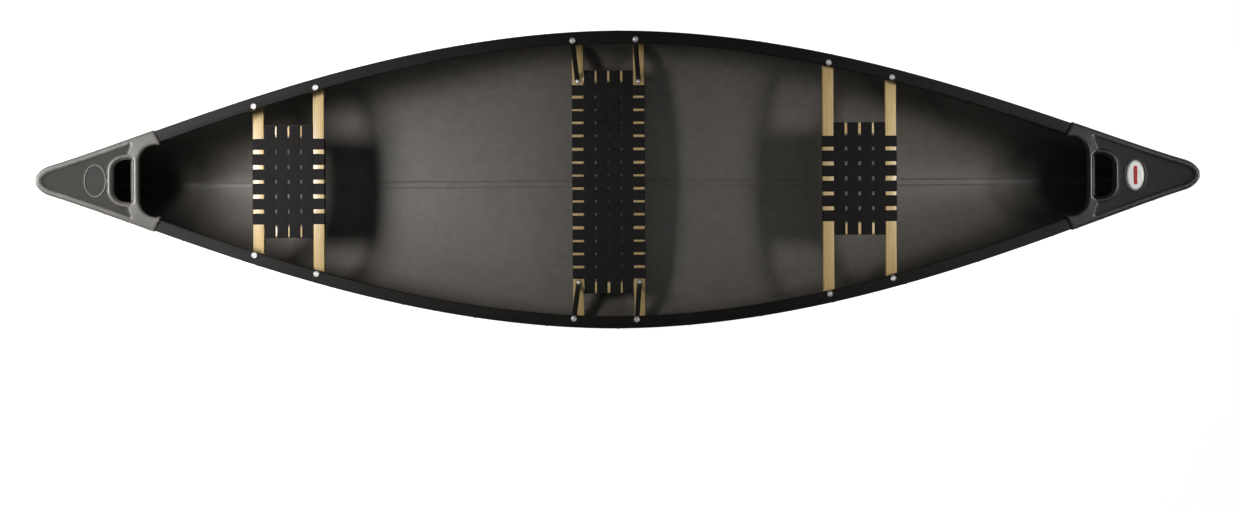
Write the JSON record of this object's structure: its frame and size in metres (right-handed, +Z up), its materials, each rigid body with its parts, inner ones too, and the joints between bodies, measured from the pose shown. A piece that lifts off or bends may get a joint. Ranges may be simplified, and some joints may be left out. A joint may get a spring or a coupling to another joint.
{
  "type": "canoe",
  "caption": "Open tandem canoe with a moulded hull, black gunwales, webbed ash seats and a carrying grip in each deck plate.",
  "frame": {"origin": "amidships on the centreline, at the underside of the keel strip", "axes": "+X to the bow, +Y to port, +Z up; the canoe stands upright on its keel"},
  "size_m": [4.0384, 1.064, 0.5199],
  "materials": {
    "hull": "moulded three-layer polyethylene, dark green outside, semi-gloss",
    "gunwale": "extruded vinyl, near-black, satin",
    "stiffener": "mill finish extrusion",
    "rivet": "black anodised pop rivets",
    "deck": "injection moulded plastic, near-black, fine leather texture",
    "badge": "plain oval, white with a red bar",
    "ash": "varnished ash, pale straw, long grain",
    "dowel": "bare beech",
    "webbing": "woven black nylon webbing",
    "stainless": "bright stainless steel",
    "spacer": "black plastic tube",
    "black_metal": "black powder coat, satin"
  },
  "bodies": {
    "root": {"hull": "hull", "gunwale_port": "gunwale", "gunwale_starboard": "gunwale", "gunwale_stiffener_port": "stiffener", "gunwale_stiffener_starboard": "stiffener", "gunwale_rivets_port": "rivet", "gunwale_rivets_starboard": "rivet", "bow_deck_plate": "deck", "stern_deck_plate": "deck", "bow_deck_rivets": "rivet", "stern_deck_rivets": "rivet", "bow_deck_badge": "badge", "stern_seat_front_rail": "ash", "stern_seat_rear_rail": "ash", "stern_seat_port_stretcher": "ash", "stern_seat_starboard_stretcher": "ash", "stern_seat_dowels": "dowel", "stern_seat_cross_straps": "webbing", "stern_seat_long_straps": "webbing", "stern_seat_staples": "stainless", "stern_seat_bolts": "stainless", "stern_seat_cup_washers": "stainless", "stern_seat_spacers": "spacer", "stern_seat_flat_washers": "stainless", "stern_seat_lock_nuts": "stainless", "bow_seat_front_rail": "ash", "bow_seat_rear_rail": "ash", "bow_seat_port_stretcher": "ash", "bow_seat_starboard_stretcher": "ash", "bow_seat_dowels": "dowel", "bow_seat_cross_straps": "webbing", "bow_seat_long_straps": "webbing", "bow_seat_staples": "stainless", "bow_seat_bolts": "stainless", "bow_seat_cup_washers": "stainless", "bow_seat_spacers": "spacer", "bow_seat_flat_washers": "stainless", "bow_seat_lock_nuts": "stainless", "centre_seat_front_rail": "ash", "centre_seat_rear_rail": "ash", "centre_seat_port_stretcher": "ash", "centre_seat_starboard_stretcher": "ash", "centre_seat_dowels": "dowel", "centre_seat_cross_straps": "webbing", "centre_seat_long_straps": "webbing", "centre_seat_staples": "stainless", "centre_seat_braces": "black_metal", "centre_seat_gunwale_bolts": "stainless", "centre_seat_cup_washers": "stainless", "centre_seat_gunwale_nuts": "stainless", "centre_seat_rail_bolts": "stainless", "centre_seat_rail_washers": "stainless", "centre_seat_rail_nuts": "stainless"}
  },
  "joints": []
}
